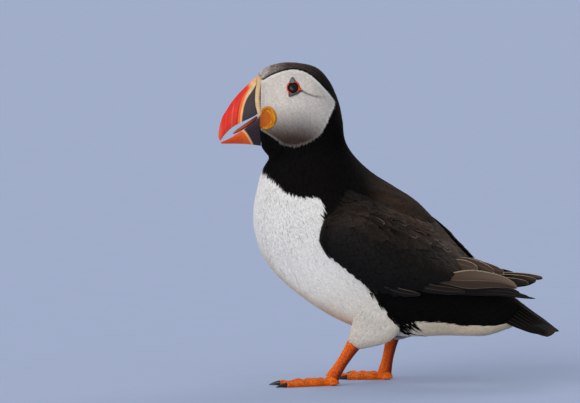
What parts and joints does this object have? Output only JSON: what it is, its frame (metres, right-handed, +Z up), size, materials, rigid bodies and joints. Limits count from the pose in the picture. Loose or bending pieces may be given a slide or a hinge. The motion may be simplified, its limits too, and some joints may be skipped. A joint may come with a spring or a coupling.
{
  "type": "atlantic puffin, still life-size animal model",
  "caption": "Standing Atlantic puffin in summer plumage: black back, white breast, pale face, tall banded orange bill held ajar, orange webbed feet.",
  "frame": {"origin": "centre of the bounding box on the floor under the soles", "axes": "+Z up; the bird faces -X, so +X runs towards the tail and is the longest extent; its left side is towards -Y, and Y is the shortest extent"},
  "size_m": [0.2264, 0.1046, 0.2114],
  "materials": {
    "face_feathers": "soft pale grey plumage with a dark crown, matt",
    "black_feathers": "brown-black plumage with worn paler edges, slight sheen",
    "white_feathers": "dense white plumage, matt and soft",
    "bill_horn": "banded horn in red, cream and slate, satin",
    "mouth_skin": "fleshy yellow and cream skin, satin",
    "eye_gloss": "wet dark eye, high gloss",
    "eye_horn": "blue-grey horny plate, dull",
    "leg_skin": "scaly orange skin, satin",
    "claw_horn": "dark horn, satin"
  },
  "bodies": {
    "root": {"head": "face_feathers", "neck": "black_feathers", "trunk": "white_feathers", "tail": "black_feathers", "bill_upper": "bill_horn", "bill_lower": "bill_horn", "bill_rim": "mouth_skin", "tongue": "mouth_skin", "eye_left": "eye_gloss", "eye_plate_upper_left": "eye_horn", "eye_plate_lower_left": "eye_horn", "rosette_left": "mouth_skin", "wing_left": "black_feathers", "flight_feathers_left": "black_feathers", "thigh_left": "white_feathers", "leg_left": "leg_skin", "foot_left": "leg_skin", "claw_inner_left": "claw_horn", "claw_middle_left": "claw_horn", "claw_outer_left": "claw_horn", "eye_right": "eye_gloss", "eye_plate_upper_right": "eye_horn", "eye_plate_lower_right": "eye_horn", "rosette_right": "mouth_skin", "wing_right": "black_feathers", "flight_feathers_right": "black_feathers", "thigh_right": "white_feathers", "leg_right": "leg_skin", "foot_right": "leg_skin", "claw_inner_right": "claw_horn", "claw_middle_right": "claw_horn", "claw_outer_right": "claw_horn"}
  },
  "joints": []
}
